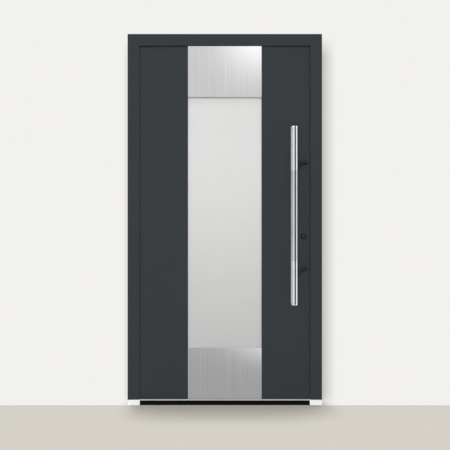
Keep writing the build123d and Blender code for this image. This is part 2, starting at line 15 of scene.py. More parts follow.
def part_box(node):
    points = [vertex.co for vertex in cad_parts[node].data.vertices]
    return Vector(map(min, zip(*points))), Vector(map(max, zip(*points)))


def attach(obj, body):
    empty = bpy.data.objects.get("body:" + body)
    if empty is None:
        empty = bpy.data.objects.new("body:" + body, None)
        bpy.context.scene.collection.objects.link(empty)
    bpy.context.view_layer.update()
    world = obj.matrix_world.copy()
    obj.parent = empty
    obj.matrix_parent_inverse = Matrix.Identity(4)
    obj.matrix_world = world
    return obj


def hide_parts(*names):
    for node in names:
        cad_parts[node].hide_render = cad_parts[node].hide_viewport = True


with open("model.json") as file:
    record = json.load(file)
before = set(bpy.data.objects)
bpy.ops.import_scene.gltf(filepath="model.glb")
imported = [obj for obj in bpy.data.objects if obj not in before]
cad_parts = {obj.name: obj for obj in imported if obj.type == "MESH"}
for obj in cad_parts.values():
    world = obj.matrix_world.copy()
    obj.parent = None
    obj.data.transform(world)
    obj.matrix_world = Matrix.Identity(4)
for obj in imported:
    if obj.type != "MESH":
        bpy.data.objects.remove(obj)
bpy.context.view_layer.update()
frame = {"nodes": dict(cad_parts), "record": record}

# %% [markdown]
# The camera stands level in front of the door, a little over four metres away and about
# half as high as the door. The picture is 450 pixels wide, and one pixel is 5.657 mm at
# the frame's face. That width and the distance give the lens, so no shift is needed.

# %% Camera
PIXEL = 0.005657
PICTURE = 450
SENSOR = 36.0
DISTANCE = 4.35
CAMERA_X = 0.0012
CAMERA_Z = 1.0193
FACE_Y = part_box("frame_outer_head")[0].y

camera_data = bpy.data.cameras.new("camera")
camera_data.sensor_width = SENSOR
camera_data.lens = SENSOR * DISTANCE / (PICTURE * PIXEL)
camera = bpy.data.objects.new("camera", camera_data)
camera.location = (CAMERA_X, FACE_Y - DISTANCE, CAMERA_Z)
camera.rotation_euler = (math.radians(90), 0, 0)
bpy.context.scene.collection.objects.link(camera)
bpy.context.scene.camera = camera
print("lens", round(camera_data.lens, 2), "mm")

# %% [markdown]
# Colours are written as the hex values that a picture shows. Shaders want linear light,
# so one function turns them round. A second one adds a node with its settings and links,
# which keeps each finish short enough to read.

# %% Colour and node helpers
def linear(code):
    """An sRGB hex colour as linear RGBA."""
    out = []
    for i in (0, 2, 4):
        c = int(code[i + 1:i + 3], 16) / 255
        out.append(c / 12.92 if c <= 0.04045 else ((c + 0.055) / 1.055) ** 2.4)
    return (*out, 1.0)


def node(tree, kind, inputs=None, **settings):
    """Adds a node. An input is a value, an output to link, or a node with one to link."""
    made = tree.nodes.new(kind)
    for key, value in settings.items():
        setattr(made, key, value)
    for key, value in (inputs or {}).items():
        if isinstance(value, bpy.types.Node):
            value = value.outputs[0]
        if isinstance(value, bpy.types.NodeSocket):
            tree.links.new(value, made.inputs[key])
        else:
            made.inputs[key].default_value = value
    return made


def finish_named(name, **values):
    """A new material with a Principled shader set to constant values."""
    material = bpy.data.materials.new(name)
    material.use_nodes = True
    shader = material.node_tree.nodes["Principled BSDF"]
    for key, value in values.items():
        shader.inputs[key.replace("_", " ")].default_value = value
    return material, material.node_tree, shader


def wire(tree, shader, **sources):
    """Links the first output of nodes to a shader's sockets."""
    for key, source in sources.items():
        tree.links.new(source.outputs[0], shader.inputs[key.replace("_", " ")])


# %% [markdown]
# Powder coat: sprayed polyester powder melted on the bars and skins. It is matt with a
# fine orange-peel texture of about a millimetre, so the gloss is broad and the colour
# hardly changes. The peel could be modelled, but it is far too fine for a mesh, so noise
# on Object coordinates draws it in real size, as bump and as a slight change of gloss.

# %% Powder coated aluminium
CLOUDS_PER_METRE = 6.0
PEEL_DEPTH = 0.0001


def powder_coat(name, codes, peel_size):
    material, tree, shader = finish_named(name, Specular_IOR_Level=0.12)
    spot = node(tree, "ShaderNodeTexCoord").outputs["Object"]
    peel = node(tree, "ShaderNodeTexNoise", {"Vector": spot, "Scale": 1 / peel_size, "Detail": 2.0})
    cloud = node(tree, "ShaderNodeTexNoise", {"Vector": spot, "Scale": CLOUDS_PER_METRE, "Detail": 3.0})
    dark, light = linear(codes[0]), linear(codes[1])
    tint = node(tree, "ShaderNodeMixRGB", {"Fac": cloud, "Color1": dark, "Color2": light})
    gloss = node(tree, "ShaderNodeMapRange", {"Value": peel, "To Min": 0.54, "To Max": 0.66})
    bump = node(tree, "ShaderNodeBump", {"Height": peel, "Strength": 0.15, "Distance": PEEL_DEPTH})
    wire(tree, shader, Base_Color=tint, Roughness=gloss, Normal=bump)
    return material


anthracite_coat = powder_coat("anthracite powder coat", ("#33383C", "#353A3E"), 0.0012)
black_coat = powder_coat("black powder coat", ("#262D31", "#2A3135"), 0.0009)
ring_coat = powder_coat("satin black enamel", ("#1A1E20", "#1D2124"), 0.0009)
print("coats", anthracite_coat.name, black_coat.name, ring_coat.name)

# %% [markdown]
# Brushed stainless steel: a belt sander leaves fine straight scratches along one way.
# They stretch the highlight across the grain and make streaks of slightly different
# roughness. Noise that is squeezed across the grain and very long along it draws them.
# The real lines are 0.1 mm apart; here they are 1 mm and 12 mm, so that they show.

# %% Brushed steel
LINES_PER_METRE = 1000.0
STREAKS_PER_METRE = 85.0
LINE_DEPTH = 0.00005
GRAIN_UPRIGHT = (1.0, 1.0, 0.006)
GRAIN_LEVEL = (0.006, 1.0, 1.0)


def brushed_steel(name, code, rough, streak, grain=GRAIN_UPRIGHT):
    """Streak is the share by which the colour changes, both ways."""
    material, tree, shader = finish_named(name, Metallic=1.0)
    spot = node(tree, "ShaderNodeTexCoord").outputs["Object"]
    along = node(tree, "ShaderNodeMapping", {"Vector": spot, "Scale": grain}).outputs["Vector"]
    fine_look = {"Vector": along, "Scale": LINES_PER_METRE, "Detail": 3.0, "Roughness": 0.6}
    wide_look = {"Vector": along, "Scale": STREAKS_PER_METRE, "Detail": 4.0, "Roughness": 0.55}
    fine = node(tree, "ShaderNodeTexNoise", fine_look)
    wide = node(tree, "ShaderNodeTexNoise", wide_look)
    both = node(tree, "ShaderNodeMath", {0: fine, 1: wide}, operation="ADD")
    share = node(tree, "ShaderNodeMapRange", {"Value": both, "From Min": 0.6, "From Max": 1.4})
    dark = (*(c * (1 - streak) for c in linear(code)[:3]), 1.0)
    light = (*(min(1.0, c * (1 + streak)) for c in linear(code)[:3]), 1.0)
    tint = node(tree, "ShaderNodeMixRGB", {"Fac": share, "Color1": dark, "Color2": light})
    gloss = node(tree, "ShaderNodeMapRange", {"Value": share, "To Min": 0.85 * rough, "To Max": 1.15 * rough})
    bump = node(tree, "ShaderNodeBump", {"Height": both, "Strength": 0.12, "Distance": LINE_DEPTH})
    wire(tree, shader, Base_Color=tint, Roughness=gloss, Normal=bump)
    return material


plate_steel = brushed_steel("brushed stainless plate", "#EBEBEB", 0.18, 0.05)
tube_steel = brushed_steel("fine brushed stainless tube", "#C9CACC", 0.2, 0.015)
grip_steel = brushed_steel("satin stainless grip", "#B6B8BA", 0.17, 0.015)
cap_steel = brushed_steel("polished stainless cap", "#F0F1F2", 0.16, 0.01)
lock_steel = brushed_steel("satin stainless lock trim", "#BFC0C1", 0.3, 0.015)
cylinder_steel = brushed_steel("burnished lock cylinder", "#44484B", 0.4, 0.01)
print("steels", plate_steel.name, tube_steel.name, grip_steel.name, lock_steel.name)

# %% [markdown]
# Anodised aluminium: the threshold rail is extruded, then given a clear oxide layer. It
# keeps faint lines of the die along its length, so the grain runs along X.

# %% Anodised aluminium
anodised = brushed_steel("clear anodised aluminium", "#F0F2F5", 0.4, 0.02, GRAIN_LEVEL)
print("rail", anodised.name)

# %% [markdown]
# Etched glass: acid leaves a fine frost on the face, so the pane glows pale grey and
# hides what is behind it. It could let light through, but the frost scatters it all, so
# a soft diffuse white with a broad sheen looks the same and has less noise. A painted
# shade makes the pane darker towards the bottom and just under its top edge.

# %% Etched glass
FROST_PER_METRE = 900.0
FROST_DEPTH = 0.00005
HAZE_PER_METRE = 4.0
GLASS_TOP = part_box("glazing_gasket")[1].z
# each painted shade of the pane: height where it starts, height where it ends, how bright at both
PAINTED_LOW_SHADE = {"From Min": 0.2, "From Max": 1.45, "To Min": 0.74, "To Max": 1.0}
PAINTED_TOP_SHADE = {"From Min": GLASS_TOP - 0.085, "From Max": GLASS_TOP, "To Min": 1.0, "To Max": 0.85}

etched, tree, shader = finish_named("acid etched glass", Roughness=0.45, Specular_IOR_Level=0.5)
spot = node(tree, "ShaderNodeTexCoord").outputs["Object"]
frost = node(tree, "ShaderNodeTexNoise", {"Vector": spot, "Scale": FROST_PER_METRE, "Detail": 2.0})
haze = node(tree, "ShaderNodeTexNoise", {"Vector": spot, "Scale": HAZE_PER_METRE, "Detail": 2.0})
pale, paler = linear("#D8D9DB"), linear("#DBDCDE")
tint = node(tree, "ShaderNodeMixRGB", {"Fac": haze, "Color1": pale, "Color2": paler})
height = node(tree, "ShaderNodeSeparateXYZ", {"Vector": spot}).outputs["Z"]
# painted shade: the pane's colour is darkened towards the bottom and just under its top edge
low_painted_shade = node(tree, "ShaderNodeMapRange", {"Value": height, **PAINTED_LOW_SHADE}, interpolation_type="SMOOTHSTEP")
top_painted_shade = node(tree, "ShaderNodeMapRange", {"Value": height, **PAINTED_TOP_SHADE})
painted_shade = node(tree, "ShaderNodeMath", {0: low_painted_shade, 1: top_painted_shade}, operation="MULTIPLY")
shaded_glass_tint = node(tree, "ShaderNodeVectorMath", {0: tint, "Scale": painted_shade}, operation="SCALE")
bump = node(tree, "ShaderNodeBump", {"Height": frost, "Strength": 0.1, "Distance": FROST_DEPTH})
wire(tree, shader, Base_Color=shaded_glass_tint, Normal=bump)
print("glass", etched.name, "up to", round(GLASS_TOP, 4))

# %% [markdown]
# Plastics and rubber: the seals are extruded rubber, the thermal breaks glass-filled
# polyamide, the threshold base hard black plastic and the foot blocks white rigid
# foam board. All are dull, with a faint mottling from the mould or the die. One function
# makes them all, because they differ only in colour, gloss and grain.

# %% Plastics, rubber and foam
def dull_plastic(name, codes, rough, grain_size, depth=0.00008, shine=0.35):
    material, tree, shader = finish_named(name, Specular_IOR_Level=shine)
    spot = node(tree, "ShaderNodeTexCoord").outputs["Object"]
    mottle = node(tree, "ShaderNodeTexNoise", {"Vector": spot, "Scale": 1 / grain_size, "Detail": 3.0})
    dark, light = linear(codes[0]), linear(codes[1])
    tint = node(tree, "ShaderNodeMixRGB", {"Fac": mottle, "Color1": dark, "Color2": light})
    span = {"Value": mottle, "To Min": rough - 0.06, "To Max": rough + 0.06}
    gloss = node(tree, "ShaderNodeMapRange", span)
    bump = node(tree, "ShaderNodeBump", {"Height": mottle, "Strength": 0.2, "Distance": depth})
    wire(tree, shader, Base_Color=tint, Roughness=gloss, Normal=bump)
    return material


seal_rubber = dull_plastic("extruded black rubber", ("#131414", "#191A1A"), 0.7, 0.002)
glazing_rubber = dull_plastic("extruded grey rubber", ("#C4C5C6", "#CBCCCD"), 0.7, 0.002)
polyamide = dull_plastic("glass filled polyamide", ("#18191A", "#1F2021"), 0.6, 0.001)
black_plastic = dull_plastic("black threshold plastic", ("#060707", "#0A0B0B"), 0.45, 0.003, shine=0.08)
white_board = dull_plastic("white rigid foam board", ("#EFF0F3", "#F5F6F8"), 0.6, 0.004)
cream_foam = dull_plastic("polyurethane foam", ("#CDBF96", "#DCCFA9"), 0.9, 0.003, depth=0.0004)
print("plastics", seal_rubber.name, polyamide.name, white_board.name)

# %% [markdown]
# Every CAD node takes the finish of its material slot, so a new node in the source is
# never left bare here. The lock cylinder alone has its own, darker steel.

# %% Dress the CAD nodes
FINISH = {
    "anthracite_paint": anthracite_coat,
    "black_polyamide": polyamide,
    "insulating_foam": cream_foam,
    "white_plastic": white_board,
    "black_plastic": black_plastic,
    "anodised_aluminium": anodised,
    "black_rubber": seal_rubber,
    "light_rubber": glazing_rubber,
    "frosted_glass": etched,
    "brushed_plate_steel": plate_steel,
    "satin_grip_steel": grip_steel,
    "brushed_tube_steel": tube_steel,
    "black_paint": black_coat,
    "hinge_steel": anthracite_coat,
    "lock_steel": lock_steel,
}
slot_of = {s["node"]: s["material_slot"] for s in frame["record"]["subparts"]}
for name, cad in frame["nodes"].items():
    cad.data.materials.clear()
    cad.data.materials.append(cylinder_steel if name == "lock_cylinder" else FINISH[slot_of[name]])
print("dressed", len(frame["nodes"]), "nodes")

# %% [markdown]
# Round pieces are turned like on a lathe: a half profile of radius and distance along an
# axis is spun round it. Spinning in code gives fine, even faces and lets small edge
# rounds catch the light. Corners sharper than 35 degrees stay sharp, the rest is smooth.

# %% Lathe
SHARP_FROM = math.radians(35)


def turned(profile, start, way, segments=96):
    """A mesh spun from (radius, distance) points round an axis that starts at a point."""
    turn = Vector((0, 0, 1)).rotation_difference(Vector(way)).to_matrix().to_4x4()
    place = Matrix.Translation(Vector(start)) @ turn
    work = bmesh.new()
    rings = []
    for radius, along in profile:
        ring = []
        for i in range(segments if radius > 0 else 1):
            a = 2 * math.pi * i / segments
            point = Vector((radius * math.cos(a), radius * math.sin(a), along))
            ring.append(work.verts.new(place @ point))
        rings.append(ring)
    for lower, upper in zip(rings, rings[1:]):
        for i in range(segments):
            j = (i + 1) % segments
            if len(lower) == 1:
                work.faces.new((lower[0], upper[j], upper[i]))
            elif len(upper) == 1:
                work.faces.new((lower[i], lower[j], upper[0]))
            else:
                work.faces.new((lower[i], lower[j], upper[j], upper[i]))
    bmesh.ops.recalc_face_normals(work, faces=work.faces)
    return work


def add_piece(name, work, material, body, replaced):
    """Makes an object of a bmesh, smooth but for its corners, in the place of a CAD node."""
    mesh = bpy.data.meshes.new(name)
    work.to_mesh(mesh)
    work.free()
    mesh.shade_smooth()
    mesh.set_sharp_from_angle(angle=SHARP_FROM)
    mesh.materials.append(material)
    piece = bpy.data.objects.new(name, mesh)
    bpy.context.scene.collection.objects.link(piece)
    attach(piece, body)
    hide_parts(replaced)
    print(name, len(mesh.polygons), "faces")
    return piece


# %% [markdown]
# Bar handle: a round stainless tube in three lengths, the middle one finished darker for
# the hand, with a thin bright cap at both ends. Each length is turned with a hairline
# round at its ends, which marks where one stops and the next starts. The tubes and caps
# cast no shadow here, so that only the brackets' small shadows show on the leaf.

# %% Bar handle
TUBE_WALL = 0.002
TUBE_EDGE = 0.0004
low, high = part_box("handle_grip")
BAR = ((low.x + high.x) / 2, (low.y + high.y) / 2)
BAR_R = (high.x - low.x) / 2

for node_name, steel in (
    ("handle_tube_lower", tube_steel), ("handle_grip", grip_steel), ("handle_tube_upper", tube_steel),
):
    low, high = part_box(node_name)
    long = high.z - low.z
    bore = BAR_R - TUBE_WALL
    edge = BAR_R - TUBE_EDGE
    tube = [
        (bore, 0), (edge, 0), (BAR_R, TUBE_EDGE),
        (BAR_R, long - TUBE_EDGE), (edge, long), (bore, long), (bore, 0),
    ]
    work = turned(tube, (*BAR, low.z), (0, 0, 1), 128)
    piece = add_piece(node_name.replace("handle", "bar"), work, steel, "leaf", node_name)
    piece.visible_shadow = False

# how far the cap's outside lies within the bar's radius, and how far from its end face
CAP_OUTSIDE = ((0.002, 0), (0.0006, 0.0006), (0, 0.002), (0, 0.0067), (0.0004, 0.007))
# the plug that sits in the tube
PLUG_R = 0.0168
PLUG_FROM = 0.007
PLUG_TO = 0.019
cap = [(0, 0), *((BAR_R - inside, along) for inside, along in CAP_OUTSIDE)]
cap += [(PLUG_R, PLUG_FROM), (PLUG_R, PLUG_TO), (0, PLUG_TO)]
for node_name, way in (("handle_cap_lower", 1), ("handle_cap_upper", -1)):
    low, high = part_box(node_name)
    work = turned(cap, (*BAR, low.z if way > 0 else high.z), (0, 0, way), 128)
    piece = add_piece(node_name.replace("handle", "bar"), work, cap_steel, "leaf", node_name)
    piece.visible_shadow = False
print("bar at", [round(v, 4) for v in BAR], "radius", round(BAR_R, 4))

# %% [markdown]
# Lock trim: the cylinder's rosette is a small black ring on the outside. The hinge pins
# show their domed caps on the inside. Both are turned, with a soft front edge.

# %% Rosette and hinge pins
# half profiles: the ring from its bore round the front edge, and one end of a pin
RING = (
    (0.0112, 0), (0.0155, 0), (0.0155, 0.0042), (0.0150, 0.0054),
    (0.0138, 0.006), (0.0124, 0.006), (0.0112, 0.0052), (0.0112, 0),
)
low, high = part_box("lock_rosette_outside")
middle = (low + high) / 2
work = turned(RING, (middle.x, high.y, middle.z), (0, -1, 0), 64)
add_piece("cylinder_ring", work, ring_coat, "leaf", "lock_rosette_outside")

PIN_END = [(0, 0), (0.0075, 0), (0.0092, 0.0008), (0.01, 0.0022), (0.01, 0.004), (0.00595, 0.004)]
for level in ("lower", "middle", "upper"):
    low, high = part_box("hinge_pin_" + level)
    middle = (low + high) / 2
    pin = PIN_END + [(r, high.z - low.z - z) for r, z in reversed(PIN_END)]
    work = turned(pin, (middle.x, middle.y, low.z), (0, 0, 1), 48)
    add_piece("pin_" + level, work, lock_steel, "frame", "hinge_pin_" + level)

# %% [markdown]
# Screws repeat, so one Geometry Nodes tree makes them all. It puts a countersunk head
# on every point of a mesh. The head is a short cone whose top is inset and pushed in for
# the driver. The sizes are named inputs, and the tree ends by realising the instances.

# %% Screw tree
SCREW_SIZES = {"Head radius": 0.004, "Head height": 0.0008, "Recess radius": 0.0018, "Recess depth": 0.0015}
# how wide the top of a head is, as a share of its rim
TAPER = 0.82


def screw_tree():
    tree = bpy.data.node_groups.new("screw heads", "GeometryNodeTree")
    sockets = tree.interface
    sockets.new_socket("Geometry", in_out="INPUT", socket_type="NodeSocketGeometry")
    for label, value in SCREW_SIZES.items():
        size = sockets.new_socket(label, in_out="INPUT", socket_type="NodeSocketFloat")
        size.default_value = value
    sockets.new_socket("Facing", in_out="INPUT", socket_type="NodeSocketVector")
    sockets.new_socket("Finish", in_out="INPUT", socket_type="NodeSocketMaterial")
    sockets.new_socket("Geometry", in_out="OUTPUT", socket_type="NodeSocketGeometry")
    given = node(tree, "NodeGroupInput").outputs
    top = node(tree, "ShaderNodeMath", {0: given["Head radius"], 1: TAPER}, operation="MULTIPLY")
    cone = {
        "Vertices": 24, "Radius Top": top,
        "Radius Bottom": given["Head radius"], "Depth": given["Head height"],
    }
    head = node(tree, "GeometryNodeMeshCone", cone).outputs
    rim = {"Mesh": head["Mesh"], "Selection": head["Top"], "Offset Scale": 0.0}
    inset = node(tree, "GeometryNodeExtrudeMesh", rim).outputs
    share = node(tree, "ShaderNodeMath", {0: given["Recess radius"], 1: top}, operation="DIVIDE")
    shrink = {"Geometry": inset["Mesh"], "Selection": inset["Top"], "Scale": share}
    small = node(tree, "GeometryNodeScaleElements", shrink)
    down = node(tree, "ShaderNodeMath", {0: given["Recess depth"], 1: -1.0}, operation="MULTIPLY")
    push = {"Mesh": small, "Selection": inset["Top"], "Offset Scale": down}
    sunk = node(tree, "GeometryNodeExtrudeMesh", push)
    align = node(tree, "FunctionNodeAlignRotationToVector", {"Vector": given["Facing"]}, axis="Z")
    points = node(tree, "GeometryNodeMeshToPoints", {"Mesh": given["Geometry"]})
    spread = {"Points": points, "Instance": sunk, "Rotation": align}
    screws = node(tree, "GeometryNodeInstanceOnPoints", spread)
    real = node(tree, "GeometryNodeRealizeInstances", {"Geometry": screws})
    coat = node(tree, "GeometryNodeSetMaterial", {"Geometry": real, "Material": given["Finish"]})
    node(tree, "NodeGroupOutput", {"Geometry": coat})
    return tree


screw_heads = screw_tree()


def put_screws(name, spots, facing, material, body):
    """Runs the screw tree on a list of points and keeps the result as a plain mesh."""
    carrier_mesh = bpy.data.meshes.new(name + " spots")
    carrier_mesh.from_pydata([tuple(s) for s in spots], [], [])
    carrier = bpy.data.objects.new(name + "_spots", carrier_mesh)
    bpy.context.scene.collection.objects.link(carrier)
    modifier = carrier.modifiers.new("screws", "NODES")
    modifier.node_group = screw_heads
    values = {"Facing": facing, "Finish": material}
    for item in screw_heads.interface.items_tree:
        if item.in_out == "INPUT" and item.name in values:
            modifier[item.identifier] = values[item.name]
    settled = carrier.evaluated_get(bpy.context.evaluated_depsgraph_get())
    mesh = bpy.data.meshes.new_from_object(settled)
    bpy.data.objects.remove(carrier)
    mesh.name = name
    piece = bpy.data.objects.new(name, mesh)
    bpy.context.scene.collection.objects.link(piece)
    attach(piece, body)
    print(name, len(spots), "screws,", len(mesh.polygons), "faces")


# %% [markdown]
# Hinge screws: three through each frame plate and four through each leaf plate, as a
# surface hinge has. The faceplate has six and the strike plate four. Their places are
# counted from the plates' own boxes, so that each screw sits on its plate.

# %% Hinge and lock screws
PLATE_THICK = 0.005
# how far a head's rim stands above its plate; its recess reaches down into the plate
HINGE_PROUD = 0.0003
LOCK_PROUD = 0.0002
# from a hinge plate's end and edges to its screws
END_ROOM = 0.014
FRAME_EDGE = 0.0065
LEAF_EDGES = (0.008, 0.024)

frame_spots = []
leaf_spots = []
screw_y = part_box("frame_inner_head")[1].y + PLATE_THICK + HINGE_PROUD
for level in ("lower", "middle", "upper"):
    low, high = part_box("hinge_frame_" + level)
    for z in (low.z + END_ROOM, (low.z + high.z) / 2, high.z - END_ROOM):
        frame_spots.append((low.x + FRAME_EDGE, screw_y, z))
    low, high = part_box("hinge_leaf_" + level)
    for z in (low.z + END_ROOM, high.z - END_ROOM):
        for edge in LEAF_EDGES:
            leaf_spots.append((high.x - edge, screw_y, z))
put_screws("hinge_frame_screws", frame_spots, (0, 1, 0), lock_steel, "frame")
put_screws("hinge_leaf_screws", leaf_spots, (0, 1, 0), lock_steel, "leaf")

# name, plate, the side it faces, its body, how many screws, the lowest one's height, pitch
for name, plate, side, body, count, first, pitch in (
    ("faceplate_screws", "lock_faceplate", 1, "leaf", 6, 0.03, 0.328),
    ("strike_screws", "strike_plate", -1, "frame", 4, 0.02, 0.17),
):
    low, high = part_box(plate)
    screw_x = high.x + LOCK_PROUD if side > 0 else low.x - LOCK_PROUD
    spots = [(screw_x, (low.y + high.y) / 2, low.z + first + pitch * i) for i in range(count)]
    put_screws(name, spots, (side, 0, 0), lock_steel, body)

# %% [markdown]
# Backdrop: the door stands on a plain beige floor before a pale wall. A thin wall just
# behind the frame, open where the leaf is, catches the door's soft shadow. It is clear
# from behind, so the inside of the door can be looked at as well. The camera, metal and
# glass see the backdrop glow in its own colour, and everything else sees a matt paint,
# so the picture's background stays pale without more light on the door.

# %% Backdrop pieces
BEIGE = "#D5D1C8"
PALE = "#F2F1ED"


def bare_material(name):
    """A material that has no nodes yet."""
    material = bpy.data.materials.new(name)
    material.use_nodes = True
    material.node_tree.nodes.clear()
    return material, material.node_tree


def one_sided(tree, front):
    """Gives a surface its shader in front and makes it clear from behind."""
    behind = node(tree, "ShaderNodeNewGeometry").outputs["Backfacing"]
    clear = node(tree, "ShaderNodeBsdfTransparent")
    surface = node(tree, "ShaderNodeMixShader", {"Fac": behind, 1: front, 2: clear})
    node(tree, "ShaderNodeOutputMaterial", {"Surface": surface})


def backdrop(name, colour):
    """A matt paint that the camera and the steel see as a glow; returns what to link up."""
    material, tree = bare_material(name)
    ray = node(tree, "ShaderNodeLightPath").outputs
    eye_or_gloss = {0: ray["Is Camera Ray"], 1: ray["Is Glossy Ray"]}
    direct = node(tree, "ShaderNodeMath", eye_or_gloss, operation="MAXIMUM")
    seen = node(tree, "ShaderNodeMath", {0: direct, 1: ray["Is Transmission Ray"]}, operation="MAXIMUM")
    glow = node(tree, "ShaderNodeEmission", {"Strength": 1.0})
    matt = node(tree, "ShaderNodeBsdfDiffuse", {"Color": linear(colour), "Roughness": 0.5})
    paint = node(tree, "ShaderNodeMixShader", {"Fac": seen, 1: matt, 2: glow})
    spot = node(tree, "ShaderNodeTexCoord").outputs["Object"]
    return material, tree, spot, glow, paint


def stage_piece(name, corners, faces, material):
    """A flat piece of the backdrop; the door alone casts shade on it."""
    mesh = bpy.data.meshes.new(name)
    mesh.from_pydata(corners, [], faces)
    mesh.materials.append(material)
    made = bpy.data.objects.new(name, mesh)
    made.visible_shadow = False
    bpy.context.scene.collection.objects.link(made)
    return made


# %% [markdown]
# The door's shadow: ambient occlusion dims that glow. The node measures how much of a
# soft dome of light the door hides, which is what a soft shadow is. The dome leans left,
# and soft edges keep the shadow where a lamp high on the left would throw it: wide right
# of the frame, narrow and weak left of it and none above.

# %% Shade of the door
SHADE_SAMPLES = 16
# where the shade beside the frame starts and is whole, from left to right
LEFT_EDGE = (-0.59, -0.572)
RIGHT_EDGE = (-0.4, 0.4)
# how much of the shade is kept left of the frame
LEFT_SHARE = 0.3


def soft_mask(tree, *edges):
    """1 inside soft edges. Each edge is a value, where the mask is 0 and where it is 1."""
    mask = 1.0
    for value, off, on in edges:
        ramp = {"Value": value, "From Min": off, "From Max": on}
        edge = node(tree, "ShaderNodeMapRange", ramp, interpolation_type="SMOOTHSTEP")
        mask = node(tree, "ShaderNodeMath", {0: mask, 1: edge}, operation="MULTIPLY")
    return mask


def beside_the_frame(tree, x):
    """How much shade is kept beside the frame: a share left of it, all of it right of it."""
    left = soft_mask(tree, (x, *LEFT_EDGE))
    kept_left = node(tree, "ShaderNodeMath", {0: left, 1: LEFT_SHARE}, operation="MULTIPLY")
    right = soft_mask(tree, (x, *RIGHT_EDGE))
    return node(tree, "ShaderNodeMath", {0: kept_left, 1: right}, operation="MAXIMUM")


def shaded(tree, colour, shade, share):
    """A colour dimmed by a share of a shade."""
    less = node(tree, "ShaderNodeMath", {0: shade, 1: 1.0}, operation="SUBTRACT")
    level = node(tree, "ShaderNodeMath", {0: less, 1: share, 2: 1.0}, operation="MULTIPLY_ADD")
    return node(tree, "ShaderNodeVectorMath", {0: linear(colour)[:3], "Scale": level}, operation="SCALE")


# %% [markdown]
# The floor is beige up to the door's face and pale behind it. Its shadow reaches about
# half a metre and is darkest at the threshold. In the steel the floor has a neutral
# grey, and it ends about three metres away, so that the bar handle mirrors the room
# over its whole height.

# %% Floor
FLOOR_SIZE = 14.0
STEEL_FLOOR = "#ABABAC"
# in the steel, the floor fades out between these distances from the door
FADE_FROM = 2.4
FADE_TO = 3.4
FRONT_DOME = {"Distance": 0.57, "Normal": Vector((-0.16, 0, 1)).normalized()}
BACK_DOME = {"Distance": 0.1, "Normal": Vector((-0.38, -0.3, 0.8)).normalized()}
# how open the floor is to the dome where the shade is whole, and where it ends
OPEN = {"From Min": 0.5, "From Max": 0.94}
SHADE_CURVE = 1.9
DEEPEST = 0.5
SHADE_LEFT = (-0.61, -0.46)
SHADE_RIGHT = (0.7, 0.55)

floor_paint, tree, spot, glow, paint = backdrop("beige floor", BEIGE)
where = node(tree, "ShaderNodeSeparateXYZ", {"Vector": spot}).outputs
wide = node(tree, "ShaderNodeAmbientOcclusion", FRONT_DOME, samples=SHADE_SAMPLES).outputs["AO"]
openness = node(tree, "ShaderNodeMapRange", {"Value": wide, **OPEN})
curve = node(tree, "ShaderNodeMath", {0: openness, 1: SHADE_CURVE}, operation="POWER")
wide_shade = node(tree, "ShaderNodeMath", {0: curve, 1: 1 - DEEPEST, 2: DEEPEST}, operation="MULTIPLY_ADD")
under_door = soft_mask(tree, (where["X"], *SHADE_LEFT), (where["X"], *SHADE_RIGHT))
front = shaded(tree, BEIGE, wide_shade, under_door)
near = node(tree, "ShaderNodeAmbientOcclusion", BACK_DOME, samples=SHADE_SAMPLES).outputs["AO"]
back = shaded(tree, PALE, near, beside_the_frame(tree, where["X"]))
behind = node(tree, "ShaderNodeMath", {0: where["Y"], 1: FACE_Y}, operation="GREATER_THAN")
by_side = node(tree, "ShaderNodeMixRGB", {"Fac": behind, "Color1": front, "Color2": back})
steel_ray = node(tree, "ShaderNodeLightPath").outputs["Is Glossy Ray"]
in_steel = {"Fac": steel_ray, "Color1": by_side, "Color2": linear(STEEL_FLOOR)}
tree.links.new(node(tree, "ShaderNodeMixRGB", in_steel).outputs["Color"], glow.inputs["Color"])
away = node(tree, "ShaderNodeVectorMath", {0: spot}, operation="LENGTH").outputs["Value"]
far = node(tree, "ShaderNodeMapRange", {"Value": away, "From Min": FADE_FROM, "From Max": FADE_TO})
gone = node(tree, "ShaderNodeMath", {0: far, 1: steel_ray}, operation="MULTIPLY")
clear = node(tree, "ShaderNodeBsdfTransparent")
faded = node(tree, "ShaderNodeMixShader", {"Fac": gone, 1: paint, 2: clear})
node(tree, "ShaderNodeOutputMaterial", {"Surface": faded})
floor_corners = [(x * FLOOR_SIZE, y * FLOOR_SIZE, 0) for x, y in ((-1, -1), (1, -1), (1, 1), (-1, 1))]
stage_piece("floor", floor_corners, [(0, 1, 2, 3)], floor_paint)
print("floor", 2 * FLOOR_SIZE, "m wide")

# %% [markdown]
# The wall's shadow comes from the frame, which stands 76 mm proud of it. It starts a
# little below the top corner, as the shadow of a high lamp does. The wall has a hole
# where the leaf swings, and only its front is painted.

# %% Wall
WALL_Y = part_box("frame_inner_head")[1].y - 0.004
WALL_DOME = {"Distance": 0.1, "Normal": Vector((-0.38, -0.75, 0.5)).normalized()}
TOP_EDGE = (2.13, 1.97)
HOLE_X = 0.53
HOLE_Z = 2.08

wall_paint, tree, spot, glow, paint = backdrop("pale wall", PALE)
where = node(tree, "ShaderNodeSeparateXYZ", {"Vector": spot}).outputs
low_enough = soft_mask(tree, (where["Z"], *TOP_EDGE))
beside = {0: beside_the_frame(tree, where["X"]), 1: low_enough}
kept = node(tree, "ShaderNodeMath", beside, operation="MULTIPLY")
near = node(tree, "ShaderNodeAmbientOcclusion", WALL_DOME, samples=SHADE_SAMPLES).outputs["AO"]
tree.links.new(shaded(tree, PALE, near, kept).outputs["Vector"], glow.inputs["Color"])
one_sided(tree, paint)
wall_corners = [
    (x, WALL_Y, z) for x, z in (
        (-FLOOR_SIZE, 0), (-HOLE_X, 0), (-HOLE_X, HOLE_Z), (HOLE_X, HOLE_Z),
        (HOLE_X, 0), (FLOOR_SIZE, 0), (FLOOR_SIZE, FLOOR_SIZE), (-FLOOR_SIZE, FLOOR_SIZE),
    )
]
stage_piece("wall", wall_corners, [(0, 1, 2, 7), (2, 3, 6, 7), (3, 4, 5, 6)], wall_paint)
